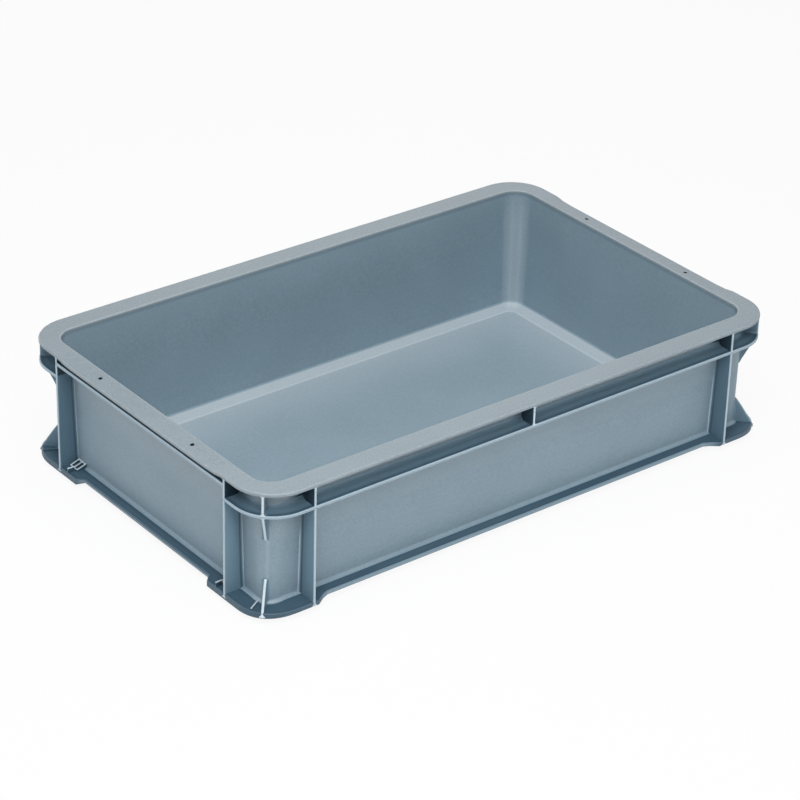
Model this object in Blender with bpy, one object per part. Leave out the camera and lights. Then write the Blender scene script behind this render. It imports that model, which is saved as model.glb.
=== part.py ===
"""Rigid stacking crate with a flanged rim, modelled feature by feature as separate solids.

Metres, +Z up. The origin is the middle of the underside, X runs along the long sides and the front
is at -Y. The real crate is one moulding, so its features meet here with only a hairline gap.
"""
from math import cos, pi, radians, sin, sqrt

import bmesh
import bpy
from mathutils import Matrix, Vector

# Overall outline
LENGTH = 0.600
WIDTH = 0.384
HEIGHT = 0.1305
OUTLINE_RADIUS = 0.040

# Tub walls: under the rim their outer faces stand in from the outline by the two ledges, their
# corners share the outline's centres along X, and they lean in by the draft towards their foot
LONG_LEDGE = 0.0200
SHORT_LEDGE = 0.0167
WALL_THICK = 0.0025
WALL_DRAFT = 0.0035

# Rim plate, with an outer edge that droops between the short sides' fins, and round pin holes
RIM_THICK = 0.0035
RIM_DROOP = 0.00225
PIN_HOLE_RADIUS = 0.0020
PIN_HOLE_INSET = 0.0100
PIN_HOLE_HALF_PITCH = 0.0735

# Horizontal ribs under the rim, measured down from the rim's top
RIB_DROP = 0.0200
RIB_THICK = 0.0030
GRIP_DROP = 0.0085
GRIP_THICK = 0.0030

# Upright fins, measured in from the outline's ends
LONG_FIN_SETBACK = 0.0567
SHORT_FIN_SETBACK = 0.0577
FIN_THICK = 0.0025
EDGE_INSET = 0.0005

# Webs and gussets
WEB_THICK = 0.0025
GUSSET_THICK = 0.0025
UPPER_GUSSET_HEIGHT = 0.030
LOWER_GUSSET_HEIGHT = 0.022
GUSSET_TIP = 0.0018

# Base flange, corner feet and the floor, which nests in the rim of a crate below
NEST_DEPTH = 0.0071
FLANGE_THICK = 0.0040
FLANGE_REACH = 0.0100
FOOT_PAST_LONG_FIN = 0.0100
FOOT_PAST_SHORT_FIN = 0.0265
FLOOR_THICK = 0.0026
FLOOR_DROP = 0.0022
FLOOR_BORDER = 0.0185
FLOOR_RADIUS = 0.0080

# Two-cell lug that slopes down from the wall, and two low stub ribs, on each corner foot
LUG_LENGTH = 0.0126
LUG_DEPTH = 0.0105
LUG_HEIGHT = 0.0050
LUG_TOE = 0.0016
LUG_WALL = 0.0015
LUG_FIN_GAP = 0.0030
STUB_THICK = 0.0015
STUB_HEIGHT = 0.0050
STUB_REACH = 0.0070
STUB_FIN_GAP = 0.0135
SPOKE_HEIGHT = 0.0018
SPOKE_ANGLE = radians(30)
SPOKE_START = 0.0040
SPOKE_SPAN = 0.0135

# Hairline gap between neighbouring solids
GAP = 0.0003
ARC_STEPS = 10
HOLE_STEPS = 16
MERGE = 1e-6

# Half sizes and heights that follow from the above
HALF_X = LENGTH / 2
HALF_Y = WIDTH / 2
WALL_X = HALF_X - SHORT_LEDGE
WALL_Y = HALF_Y - LONG_LEDGE
INNER_X = WALL_X - WALL_THICK
INNER_Y = WALL_Y - WALL_THICK
WALL_OUTER_RADIUS = OUTLINE_RADIUS - SHORT_LEDGE
WALL_INNER_RADIUS = WALL_OUTER_RADIUS - WALL_THICK
BEND_X = INNER_X - WALL_INNER_RADIUS
BEND_Y = INNER_Y - WALL_INNER_RADIUS
NEST_X = WALL_X - WALL_DRAFT
NEST_Y = WALL_Y - WALL_DRAFT
NEST_RADIUS = WALL_OUTER_RADIUS - WALL_DRAFT
FLANGE_X = WALL_X + FLANGE_REACH
FLANGE_Y = WALL_Y + FLANGE_REACH
FIN_X = HALF_X - LONG_FIN_SETBACK
FIN_Y = HALF_Y - SHORT_FIN_SETBACK
FIN_HALF = FIN_THICK / 2
BORDER_TOP = FLOOR_DROP + FLOOR_THICK
FLANGE_TOP = NEST_DEPTH + FLANGE_THICK
RIM_BOTTOM = HEIGHT - RIM_THICK
WALL_FOOT = BORDER_TOP + GAP
WALL_TOP = RIM_BOTTOM - GAP
RIB_TOP = HEIGHT - RIB_DROP
RIB_BOTTOM = RIB_TOP - RIB_THICK
GRIP_TOP = HEIGHT - GRIP_DROP
GRIP_BOTTOM = GRIP_TOP - GRIP_THICK
FOOT_END_X = FIN_X - FOOT_PAST_LONG_FIN
FOOT_END_Y = FIN_Y - FOOT_PAST_SHORT_FIN

PLASTIC_COLOUR = (0.235, 0.305, 0.350, 1.0)
PLASTIC_ROUGHNESS = 0.55

CORNERS = {
    "front_left": (-1, -1),
    "front_right": (1, -1),
    "rear_left": (-1, 1),
    "rear_right": (1, 1),
}


def start_clean():
    """Empty the scene and make the two collections."""
    for old in list(bpy.data.objects):
        bpy.data.objects.remove(old, do_unlink=True)
    parts = bpy.data.collections.new("storage_crate")
    tools = bpy.data.collections.new("storage_crate_tools")
    for collection in (parts, tools):
        bpy.context.scene.collection.children.link(collection)
    return parts, tools


PARTS, TOOLS = start_clean()


def moulded_plastic(name):
    """One matte grey-blue polypropylene for the named part."""
    material = bpy.data.materials.new(name + "_plastic")
    material.use_nodes = True
    shader = material.node_tree.nodes["Principled BSDF"]
    shader.inputs["Base Color"].default_value = PLASTIC_COLOUR
    shader.inputs["Roughness"].default_value = PLASTIC_ROUGHNESS
    shader.inputs["Metallic"].default_value = 0.0
    material.diffuse_color = PLASTIC_COLOUR
    return material


def extruded(name, outlines, thickness, matrix, collection=PARTS):
    """Extrude closed flat outlines about their plane: the first is the edge, the others are holes."""
    curve = bpy.data.curves.new(name, "CURVE")
    curve.dimensions = "2D"
    curve.fill_mode = "BOTH"
    curve.extrude = thickness / 2
    for outline in outlines:
        spline = curve.splines.new("POLY")
        spline.points.add(len(outline) - 1)
        for point, (x, y) in zip(spline.points, outline):
            point.co = (x, y, 0, 1)
        spline.use_cyclic_u = True
    flat = bpy.data.objects.new(name + "_outline", curve)
    collection.objects.link(flat)
    flat.matrix_world = matrix
    bpy.context.view_layer.update()
    mesh = bpy.data.meshes.new_from_object(flat.evaluated_get(bpy.context.evaluated_depsgraph_get()))
    welded = bmesh.new()
    welded.from_mesh(mesh)
    bmesh.ops.remove_doubles(welded, verts=welded.verts, dist=MERGE)
    bmesh.ops.recalc_face_normals(welded, faces=welded.faces)
    welded.to_mesh(mesh)
    welded.free()
    mesh.name = name
    solid = bpy.data.objects.new(name, mesh)
    solid.matrix_world = flat.matrix_world
    collection.objects.link(solid)
    bpy.data.objects.remove(flat)
    mesh.materials.clear()
    mesh.materials.append(moulded_plastic(name))
    return solid


def level_plate(name, outlines, bottom, top, collection=PARTS):
    """A horizontal plate with the given plan outlines."""
    middle = Matrix.Translation((0, 0, (bottom + top) / 2))
    return extruded(name, outlines, top - bottom, middle, collection)


def upright_plate(name, profile, thickness, origin, outward, collection=PARTS):
    """A vertical plate whose profile is given as distance outward from origin and height."""
    out = Vector((outward[0], outward[1], 0)).normalized()
    up = Vector((0, 0, 1))
    stand = Matrix((out, up, out.cross(up))).transposed().to_4x4()
    return extruded(name, [profile], thickness, Matrix.Translation(origin) @ stand, collection)


def add_to(solid, tool):
    """Join the tool's shape onto the solid, and keep the tool out of sight."""
    tool.hide_render = True
    tool.display_type = "WIRE"
    union = solid.modifiers.new(tool.name, "BOOLEAN")
    union.operation = "UNION"
    union.object = tool
    union.solver = "EXACT"


def arc(centre, radius, start, end, steps=ARC_STEPS):
    """Points of an arc, both ends included. Angles in degrees."""
    turn = radians(end - start) / steps
    angles = [radians(start) + turn * step for step in range(steps + 1)]
    return [(centre[0] + radius * cos(a), centre[1] + radius * sin(a)) for a in angles]


def mirrored(points, sign_x, sign_y):
    """Points of the +X +Y corner carried to another corner."""
    return [(sign_x * x, sign_y * y) for x, y in points]


def rectangle(low_x, high_x, low_y, high_y):
    """The four corners of a rectangle."""
    return [(low_x, low_y), (high_x, low_y), (high_x, high_y), (low_x, high_y)]


def rounded_rectangle(half_x, half_y, radius):
    """A closed outline with four round corners."""
    quarter = arc((half_x - radius, half_y - radius), radius, 0, 90)
    second = mirrored(quarter, -1, 1)[::-1]
    third = mirrored(quarter, -1, -1)
    fourth = mirrored(quarter, 1, -1)[::-1]
    return quarter + second + third + fourth


def outline_corner():
    """The round corner of the crate's outline, from the short side to the long side."""
    return arc((HALF_X - OUTLINE_RADIUS, HALF_Y - OUTLINE_RADIUS), OUTLINE_RADIUS, 0, 90)


def wall_bend(radius):
    """An arc about the wall's bend, from the long side back to the short side."""
    return arc((BEND_X, BEND_Y), radius, 90, 0)


def lean(height):
    """How far the wall has come in from its place under the rim, at a height."""
    return WALL_DRAFT * (WALL_TOP - height) / (WALL_TOP - WALL_FOOT)


def draft(solid):
    """Lean an upright wall inward towards its foot, square to its face or about its bend."""
    for vertex in solid.data.vertices:
        place = solid.matrix_world @ vertex.co
        core = Vector((max(-BEND_X, min(BEND_X, place.x)), max(-BEND_Y, min(BEND_Y, place.y)), place.z))
        place -= (place - core).normalized() * lean(place.z)
        vertex.co = solid.matrix_world.inverted() @ place


def droop(solid):
    """Lower a short rim bar evenly from its inner edge to its outer edge."""
    for vertex in solid.data.vertices:
        place = solid.matrix_world @ vertex.co
        place.z -= RIM_DROOP * (abs(place.x) - INNER_X) / (HALF_X - INNER_X)
        vertex.co = solid.matrix_world.inverted() @ place


def leaning_edge(base, bottom, top):
    """The two points of an upright edge that keeps clear of the leaning wall, bottom first."""
    return [(base - lean(bottom) + GAP, bottom), (base - lean(top) + GAP, top)]


def diagonal_reach():
    """Distance from the wall's bend centre out to the outline along the corner's diagonal."""
    offset_x = BEND_X - (HALF_X - OUTLINE_RADIUS)
    offset_y = BEND_Y - (HALF_Y - OUTLINE_RADIUS)
    along = (offset_x + offset_y) * cos(pi / 4)
    apart = offset_x ** 2 + offset_y ** 2
    return sqrt(along ** 2 - apart + OUTLINE_RADIUS ** 2) - along


def make_floor():
    """Floor that nests in the rim below: a flat pan, and a border raised around it by the floor's drop."""
    pan_x = NEST_X - FLOOR_BORDER
    pan_y = NEST_Y - FLOOR_BORDER
    pan = rounded_rectangle(pan_x, pan_y, FLOOR_RADIUS)
    nest = rounded_rectangle(NEST_X, NEST_Y, NEST_RADIUS)
    pan_seat = rounded_rectangle(pan_x + GAP, pan_y + GAP, FLOOR_RADIUS + GAP)
    level_plate("floor_pan", [pan], 0, FLOOR_THICK)
    level_plate("floor_border", [nest, pan_seat], FLOOR_DROP, BORDER_TOP)


def make_walls():
    """Four flat walls on the floor's border and four bent corner walls, all leaning in to their foot."""
    for side, sign in (("front", -1), ("rear", 1)):
        plan = rectangle(-BEND_X + GAP, BEND_X - GAP, INNER_Y, WALL_Y)
        draft(level_plate("long_wall_" + side, [mirrored(plan, 1, sign)], WALL_FOOT, WALL_TOP))
    for side, sign in (("left", -1), ("right", 1)):
        plan = rectangle(INNER_X, WALL_X, -BEND_Y + GAP, BEND_Y - GAP)
        draft(level_plate("short_wall_" + side, [mirrored(plan, sign, 1)], WALL_FOOT, WALL_TOP - GAP))
    bend = wall_bend(WALL_INNER_RADIUS) + wall_bend(WALL_OUTER_RADIUS)[::-1]
    for corner, signs in CORNERS.items():
        draft(level_plate("corner_wall_" + corner, [mirrored(bend, *signs)], WALL_FOOT, WALL_TOP))


def make_rim():
    """Rim: two long bars, two short bars with pin holes and a lower outer edge, and four corners."""
    split_x = min(BEND_X, HALF_X - OUTLINE_RADIUS)
    for side, sign in (("front", -1), ("rear", 1)):
        plan = rectangle(-split_x + GAP, split_x - GAP, INNER_Y, HALF_Y)
        level_plate("rim_" + side, [mirrored(plan, 1, sign)], RIM_BOTTOM, HEIGHT)
    end_y = FIN_Y - FIN_HALF - GAP
    bar = rectangle(INNER_X, HALF_X, -end_y, end_y)
    pin_x = HALF_X - PIN_HOLE_INSET
    holes = [
        arc((pin_x, y), PIN_HOLE_RADIUS, 0, 360, HOLE_STEPS)[:-1]
        for y in (-PIN_HOLE_HALF_PITCH, PIN_HOLE_HALF_PITCH)
    ]
    for side, sign in (("left", -1), ("right", 1)):
        outlines = [mirrored(outline, sign, 1) for outline in [bar] + holes]
        droop(level_plate("rim_" + side, outlines, RIM_BOTTOM, HEIGHT))
    corner_plan = [(INNER_X, end_y + GAP), (HALF_X, end_y + GAP)] + outline_corner()
    corner_plan += [(split_x, HALF_Y), (split_x, INNER_Y)] + wall_bend(WALL_INNER_RADIUS)
    corner_plan = without_repeats(corner_plan)
    for corner, signs in CORNERS.items():
        level_plate("rim_corner_" + corner, [mirrored(corner_plan, *signs)], RIM_BOTTOM, HEIGHT)


def without_repeats(points):
    """The closed outline without points that fall on the one before."""
    kept = []
    for point in points:
        if not kept or max(abs(point[0] - kept[-1][0]), abs(point[1] - kept[-1][1])) > MERGE:
            kept.append(point)
    if max(abs(kept[0][0] - kept[-1][0]), abs(kept[0][1] - kept[-1][1])) <= MERGE:
        kept.pop()
    return kept


def make_ribs():
    """Rib under the rim along the long sides and round the corners, and a grip rib on the short sides."""
    root = GAP - lean(RIB_TOP)
    side_end = FIN_X - FIN_HALF - GAP
    for side, sign in (("front", -1), ("rear", 1)):
        plan = rectangle(-side_end, side_end, WALL_Y + root, HALF_Y)
        level_plate("side_rib_" + side, [mirrored(plan, 1, sign)], RIB_BOTTOM, RIB_TOP)
    start_x = FIN_X + FIN_HALF + GAP
    start_y = FIN_Y + FIN_HALF + GAP
    round_rib = [(HALF_X, start_y)] + outline_corner() + [(start_x, HALF_Y), (start_x, WALL_Y + root)]
    round_rib += wall_bend(WALL_OUTER_RADIUS + root) + [(WALL_X + root, start_y)]
    round_rib = without_repeats(round_rib)
    for corner, signs in CORNERS.items():
        level_plate("corner_rib_" + corner, [mirrored(round_rib, *signs)], RIB_BOTTOM, RIB_TOP)
    grip_end = FIN_Y - FIN_HALF - GAP
    for side, sign in (("left", -1), ("right", 1)):
        plan = rectangle(WALL_X - lean(GRIP_TOP) + GAP, HALF_X, -grip_end, grip_end)
        level_plate("grip_rib_" + side, [mirrored(plan, sign, 1)], GRIP_BOTTOM, GRIP_TOP)


def upright_profile(base, far, bottom, top):
    """A four-sided upright profile whose inner edge follows the leaning wall."""
    return leaning_edge(base, bottom, top) + [(far, top), (far, bottom)]


def make_fins():
    """Upright fins from the feet to the rim, two on each side of the crate."""
    bottom = FLANGE_TOP + GAP
    long_profile = upright_profile(WALL_Y, HALF_Y - EDGE_INSET, bottom, WALL_TOP)
    short_profile = upright_profile(WALL_X, HALF_X - EDGE_INSET, bottom, WALL_TOP)
    for corner, (sign_x, sign_y) in CORNERS.items():
        upright_plate("long_fin_" + corner, long_profile, FIN_THICK, (sign_x * FIN_X, 0, 0), (0, sign_y))
        upright_plate("short_fin_" + corner, short_profile, FIN_THICK, (0, sign_y * FIN_Y, 0), (sign_x, 0))


def make_webs():
    """Webs between rim and rib: one at the middle of each long side and one across each corner."""
    bottom = RIB_TOP + GAP
    mid_profile = upright_profile(WALL_Y, HALF_Y - EDGE_INSET, bottom, WALL_TOP)
    for side, sign in (("front", -1), ("rear", 1)):
        upright_plate("mid_web_" + side, mid_profile, WEB_THICK, (0, 0, 0), (0, sign))
    web_profile = upright_profile(WALL_OUTER_RADIUS, diagonal_reach() - EDGE_INSET, bottom, WALL_TOP)
    for corner, signs in CORNERS.items():
        bend = (signs[0] * BEND_X, signs[1] * BEND_Y, 0)
        upright_plate("corner_web_" + corner, web_profile, WEB_THICK, bend, signs)


def make_gussets():
    """Three-sided gussets across each corner: one hangs from the rib, one stands on the foot."""
    far = diagonal_reach() - EDGE_INSET
    upper_top = RIB_BOTTOM - GAP
    upper = leaning_edge(WALL_OUTER_RADIUS, upper_top - UPPER_GUSSET_HEIGHT, upper_top)
    near, low = upper[0]
    upper += [(far, upper_top), (far, upper_top - GUSSET_TIP), (near + GUSSET_TIP, low)]
    lower_bottom = FLANGE_TOP + GAP
    lower = leaning_edge(WALL_OUTER_RADIUS, lower_bottom, lower_bottom + LOWER_GUSSET_HEIGHT)
    near, high = lower[1]
    lower += [(near + GUSSET_TIP, high), (far, lower_bottom + GUSSET_TIP), (far, lower_bottom)]
    for corner, signs in CORNERS.items():
        bend = (signs[0] * BEND_X, signs[1] * BEND_Y, 0)
        upright_plate("upper_gusset_" + corner, upper, GUSSET_THICK, bend, signs)
        upright_plate("lower_gusset_" + corner, lower, GUSSET_THICK, bend, signs)


def make_base():
    """Base flange under the walls: a narrow strip along each side and a full-width foot at each corner."""
    side_x = FOOT_END_X - (HALF_Y - FLANGE_Y) - GAP
    side_y = FOOT_END_Y - (HALF_X - FLANGE_X) - GAP
    root = GAP - lean(FLANGE_TOP)
    for side, sign in (("front", -1), ("rear", 1)):
        plan = rectangle(-side_x, side_x, WALL_Y + root, FLANGE_Y)
        level_plate("base_flange_" + side, [mirrored(plan, 1, sign)], NEST_DEPTH, FLANGE_TOP)
    for side, sign in (("left", -1), ("right", 1)):
        plan = rectangle(WALL_X + root, FLANGE_X, -side_y, side_y)
        level_plate("base_flange_" + side, [mirrored(plan, sign, 1)], NEST_DEPTH, FLANGE_TOP)
    foot = [(WALL_X + root, side_y + GAP), (FLANGE_X, side_y + GAP), (HALF_X, FOOT_END_Y)]
    foot += outline_corner()
    foot += [(FOOT_END_X, HALF_Y), (side_x + GAP, FLANGE_Y), (side_x + GAP, WALL_Y + root)]
    foot += wall_bend(WALL_OUTER_RADIUS + root)
    for corner, signs in CORNERS.items():
        name = "corner_foot_" + corner
        plate = level_plate(name, [mirrored(foot, *signs)], NEST_DEPTH, FLANGE_TOP)
        for stub in foot_stubs(name, *signs):
            add_to(plate, stub)


def foot_stubs(name, sign_x, sign_y):
    """Two low ribs moulded onto a foot: one at its outer edge and one spoke beside the lower gusset."""
    root = FLANGE_TOP - FLANGE_THICK / 2
    top = FLANGE_TOP + STUB_HEIGHT
    edge_far = HALF_X - EDGE_INSET
    edge_profile = rectangle(edge_far - STUB_REACH, edge_far, root, top)
    edge_origin = (0, sign_y * (FIN_Y - STUB_FIN_GAP), 0)
    spoke_near = WALL_OUTER_RADIUS + SPOKE_START
    spoke_profile = rectangle(spoke_near, spoke_near + SPOKE_SPAN, root, FLANGE_TOP + SPOKE_HEIGHT)
    bend = (sign_x * BEND_X, sign_y * BEND_Y, 0)
    spoke = (sign_x * cos(SPOKE_ANGLE), sign_y * sin(SPOKE_ANGLE))
    return [
        upright_plate(name + "_edge", edge_profile, STUB_THICK, edge_origin, (sign_x, 0), TOOLS),
        upright_plate(name + "_spoke", spoke_profile, STUB_THICK, bend, spoke, TOOLS),
    ]


def make_lugs():
    """A two-cell lug on each foot, beside the short fin, with a top that slopes down to its toe."""
    bottom = FLANGE_TOP + GAP
    low_x = WALL_X - lean(bottom + LUG_HEIGHT) + GAP
    high_x = low_x + LUG_DEPTH
    high_y = FIN_Y - FIN_HALF - LUG_FIN_GAP
    low_y = high_y - LUG_LENGTH
    cell = (LUG_LENGTH - 3 * LUG_WALL) / 2
    frame = [rectangle(low_x, high_x, low_y, high_y)]
    for cell_low in (low_y + LUG_WALL, low_y + 2 * LUG_WALL + cell):
        frame.append(rectangle(low_x + LUG_WALL, high_x - LUG_WALL, cell_low, cell_low + cell))
    for corner, signs in CORNERS.items():
        outlines = [mirrored(outline, *signs) for outline in frame]
        lug = level_plate("foot_lug_" + corner, outlines, bottom, bottom + LUG_HEIGHT)
        for vertex in lug.data.vertices:
            place = lug.matrix_world @ vertex.co
            share = (abs(place.x) - low_x) / LUG_DEPTH
            if place.z > bottom + LUG_TOE:
                place.z -= (LUG_HEIGHT - LUG_TOE) * share
            vertex.co = lug.matrix_world.inverted() @ place


def main():
    """Make every feature of the crate."""
    make_floor()
    make_walls()
    make_rim()
    make_ribs()
    make_fins()
    make_webs()
    make_gussets()
    make_base()
    make_lugs()


main()
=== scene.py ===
"""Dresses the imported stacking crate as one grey-blue moulding under soft studio light.

Metres, +Z up, the front long side at -Y. Every surface is a grid of points worked out with numpy:
a cross-section carried round the crate, or a thin plate standing out from its wall.
"""

import logging
from dataclasses import dataclass
from enum import Enum
from math import cos, pi, radians, sin
from typing import Any, Optional, Union

import bmesh
import bpy
import numpy as np
from mathutils import Matrix, Vector


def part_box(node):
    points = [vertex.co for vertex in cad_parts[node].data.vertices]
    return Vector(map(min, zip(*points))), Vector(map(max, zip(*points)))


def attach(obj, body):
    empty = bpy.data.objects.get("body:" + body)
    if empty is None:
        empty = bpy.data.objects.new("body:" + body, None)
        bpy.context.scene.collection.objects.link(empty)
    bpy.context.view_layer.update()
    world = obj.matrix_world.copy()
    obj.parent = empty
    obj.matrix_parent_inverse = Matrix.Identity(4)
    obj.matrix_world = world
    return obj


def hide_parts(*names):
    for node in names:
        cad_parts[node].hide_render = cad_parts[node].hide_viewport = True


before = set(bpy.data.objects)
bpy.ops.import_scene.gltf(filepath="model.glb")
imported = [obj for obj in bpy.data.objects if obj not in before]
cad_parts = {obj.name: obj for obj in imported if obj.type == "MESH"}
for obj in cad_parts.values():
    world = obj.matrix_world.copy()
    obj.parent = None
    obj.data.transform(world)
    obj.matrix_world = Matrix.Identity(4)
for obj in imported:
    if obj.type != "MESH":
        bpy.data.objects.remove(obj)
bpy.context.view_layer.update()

LOG = logging.getLogger("crate")
BODY = "root"
# Mesh attribute of real wear and painted light and shade: above 0 paler, for rubbed edges and painted highlights; below
# 0 painted shade; below -1 deep painted shade.
WEAR_AND_SHADING = "wear"
SHARP_ANGLE = radians(38)
SUNK = 0.0008
BESIDE_FIN = (0.0, 0.0018, 0.0040, 0.0075, 0.0120)
RIB_DROP = 0.0021
FOOT_FULLNESS = 0.0021
WALL_FULLNESS = 0.0045
EDGE_OVERRUN = 0.0030
# Painted shade on the sides of the low bars.
SIDE_SHADE = -1.2

Array = np.ndarray
Colour = tuple[float, float, float, float]
Flat = tuple[float, float]


class Corner(Enum):
    """The crate's corners, each with the signs of its X and Y."""

    FRONT_LEFT = (-1, -1)
    FRONT_RIGHT = (1, -1)
    REAR_LEFT = (-1, 1)
    REAR_RIGHT = (1, 1)

    def node(self, kind: str) -> str:
        """Name of this corner's CAD node of a kind."""
        return kind + "_" + self.name.lower()


# The corner that faces the lamps: its recess keeps no painted shade, and its gusset edges and spoke get a painted
# highlight.
LIT_CORNER = Corner.FRONT_LEFT


class Closure(Enum):
    """How a grid of points closes into a shell."""

    RING = "wraps both ways"
    BAR = "rows wrap, the first and last columns are flat ends"
    CUP = "columns wrap, the first and last rows are flat ends"


@dataclass(frozen=True)
class CrateSizes:
    """Sizes and places of the crate, read from the boxes of its CAD nodes."""

    half_x: float
    half_y: float
    top: float
    rim_under: float
    droop: float
    outline_radius: float
    inner_x: float
    inner_y: float
    wall_thick: float
    draft: float
    wall_foot: float
    wall_top: float
    border_top: float
    border_under: float
    pan_top: float
    pan_x: float
    pan_y: float
    flange_x: float
    flange_y: float
    flange_top: float
    flange_under: float
    foot_x: float
    foot_y: float
    fin_x: float
    fin_y: float
    fin_half: float
    rib_top: float
    rib_under: float
    grip_top: float
    grip_under: float

    @classmethod
    def from_frame(cls) -> "CrateSizes":
        """Measure the CAD nodes; the long ribs are drawn lower than theirs, where the photograph has them.

        Returns:
            The sizes that every piece is worked out from.
        """
        rim_low, rim_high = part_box("rim_rear")
        corner_low, corner_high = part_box("rim_corner_rear_right")
        short_low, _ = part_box("rim_right")
        wall_low, wall_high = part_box("long_wall_rear")
        border_low, border_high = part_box("floor_border")
        _, pan_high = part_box("floor_pan")
        flange_low, flange_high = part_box("base_flange_rear")
        _, short_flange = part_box("base_flange_right")
        foot_low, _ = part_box("corner_foot_rear_right")
        fin_low, fin_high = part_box("long_fin_rear_right")
        short_fin_low, short_fin_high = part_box("short_fin_rear_right")
        rib_low, rib_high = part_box("side_rib_rear")
        grip_low, grip_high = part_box("grip_rib_right")
        return cls(
            half_x=corner_high.x,
            half_y=corner_high.y,
            top=rim_high.z,
            rim_under=rim_low.z,
            droop=rim_low.z - short_low.z,
            outline_radius=corner_high.x - corner_low.x,
            inner_x=short_low.x,
            inner_y=rim_low.y,
            wall_thick=wall_high.y - rim_low.y,
            draft=rim_low.y - wall_low.y,
            wall_foot=wall_low.z,
            wall_top=wall_high.z,
            border_top=border_high.z,
            border_under=border_low.z,
            pan_top=pan_high.z,
            pan_x=pan_high.x,
            pan_y=pan_high.y,
            flange_x=short_flange.x,
            flange_y=flange_high.y,
            flange_top=flange_high.z,
            flange_under=flange_low.z,
            foot_x=foot_low.x,
            foot_y=foot_low.y,
            fin_x=(fin_low.x + fin_high.x) / 2,
            fin_y=(short_fin_low.y + short_fin_high.y) / 2,
            fin_half=(fin_high.x - fin_low.x) / 2,
            rib_top=rib_high.z - RIB_DROP,
            rib_under=rib_low.z - RIB_DROP,
            grip_top=grip_high.z,
            grip_under=grip_low.z,
        )

    @property
    def bend_x(self) -> float:
        """X of the corner bends' centres."""
        return self.half_x - self.outline_radius

    @property
    def inner_radius(self) -> float:
        """Radius of the opening's corners."""
        return self.inner_x - self.bend_x

    @property
    def wall_radius(self) -> float:
        """Radius of the walls' outer face at the corners, under the rim."""
        return self.inner_radius + self.wall_thick

    @property
    def bend_y(self) -> float:
        """Y of the wall bends' centres."""
        return self.inner_y - self.inner_radius

    @property
    def edge_bend_y(self) -> float:
        """Y of the outline bends' centres."""
        return self.half_y - self.outline_radius

    def lean(self, height: Union[float, Array]) -> Union[float, Array]:
        """How far the walls have come in at a height: linear from none under the rim to the whole draft."""
        return self.draft * (self.wall_top - height) / (self.wall_top - self.wall_foot)

    def wall_face(self, height: Union[float, Array]) -> Union[float, Array]:
        """Reach of the walls' outer face from their bend line, at a height."""
        return self.wall_radius - self.lean(height)

    def fullness(self, height: Union[float, Array]) -> Union[float, Array]:
        """How far the walls' bends stand out past their radius halfway round: most at the foot, little on top."""
        return WALL_FULLNESS * (1 - 0.8 * (height - self.flange_top) / (self.rim_under - self.flange_top))

    @property
    def long_shift(self) -> float:
        """Y from the wall bends' centres out to the outline bends' centres."""
        return self.edge_bend_y - self.bend_y

    def fin_gap(self, path: "Path") -> Array:
        """Distance along the wall from each station to the nearest fin's face; large round the bends."""
        along = np.abs(np.abs(path.wall) - [self.fin_x, self.fin_y]) - self.fin_half
        flat = np.abs(path.outward[:, ::-1]) == 1
        return np.where(flat, along, self.half_x).min(axis=1)

    def diagonal_reach(self) -> float:
        """Reach of the outline from the wall's bend centre along a corner's diagonal.

        It is the far root of a quadratic: the point on the diagonal that is one outline radius away
        from the outline's own bend centre.

        Returns:
            The distance in metres.
        """
        shift = self.long_shift
        along = shift * sin(pi / 4)
        return along + (along ** 2 - shift ** 2 + self.outline_radius ** 2) ** 0.5


@dataclass(frozen=True)
class Shell:
    """One closed surface: its points, four-sided faces, flat ends and the wear and painted light and shade of each
    point.
    """

    points: Array
    quads: Array
    ends: list[Array]
    wear: Array

    @classmethod
    def from_grid(cls, grid: Array, wear: Array, closure: Closure) -> "Shell":
        """Close a grid of points into a shell.

        Args:
            grid: Points as rows, columns and coordinates.
            wear: Wear and painted light and shade of each point, in any shape that fits rows and columns.
            closure: Which way the grid wraps.

        Returns:
            The closed shell.
        """
        rows, columns = grid.shape[:2]
        index = np.arange(rows * columns).reshape(rows, columns)
        wrapped = index
        if closure is not Closure.CUP:
            wrapped = np.vstack([wrapped, wrapped[:1]])
        if closure is not Closure.BAR:
            wrapped = np.hstack([wrapped, wrapped[:, :1]])
        quads = np.stack(
            [wrapped[:-1, :-1], wrapped[:-1, 1:], wrapped[1:, 1:], wrapped[1:, :-1]], axis=-1
        ).reshape(-1, 4)
        ends = []
        if closure is Closure.BAR:
            ends = [index[:, 0], index[::-1, -1]]
        if closure is Closure.CUP:
            ends = [index[0, ::-1], index[-1]]
        return cls(grid.reshape(-1, 3), quads, ends, np.broadcast_to(wear, (rows, columns)).ravel())


def make_piece(
    name: str, shells: list[Shell], material: bpy.types.Material, replaced: list[str]
) -> bpy.types.Object:
    """Join shells into one mesh object that rides on the crate and stands for its CAD nodes.

    Args:
        name: Name of the piece.
        shells: Closed surfaces, which may run into each other.
        material: Finish of the piece.
        replaced: CAD nodes that the piece stands for.

    Returns:
        The new object, at the origin.
    """
    faces = []
    start = 0
    for shell in shells:
        faces += (shell.quads + start).tolist()
        faces += [(end + start).tolist() for end in shell.ends]
        start += len(shell.points)
    mesh = bpy.data.meshes.new(name)
    mesh.from_pydata(np.concatenate([shell.points for shell in shells]).tolist(), [], faces)
    wear = np.concatenate([shell.wear for shell in shells])
    mesh.attributes.new(WEAR_AND_SHADING, "FLOAT", "POINT").data.foreach_set("value", wear)
    outward = bmesh.new()
    outward.from_mesh(mesh)
    bmesh.ops.recalc_face_normals(outward, faces=outward.faces)
    outward.to_mesh(mesh)
    outward.free()
    piece = bpy.data.objects.new(name, mesh)
    bpy.context.scene.collection.objects.link(piece)
    mesh.materials.append(material)
    smooth(piece)
    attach(piece, BODY)
    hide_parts(*replaced)
    return piece


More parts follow.
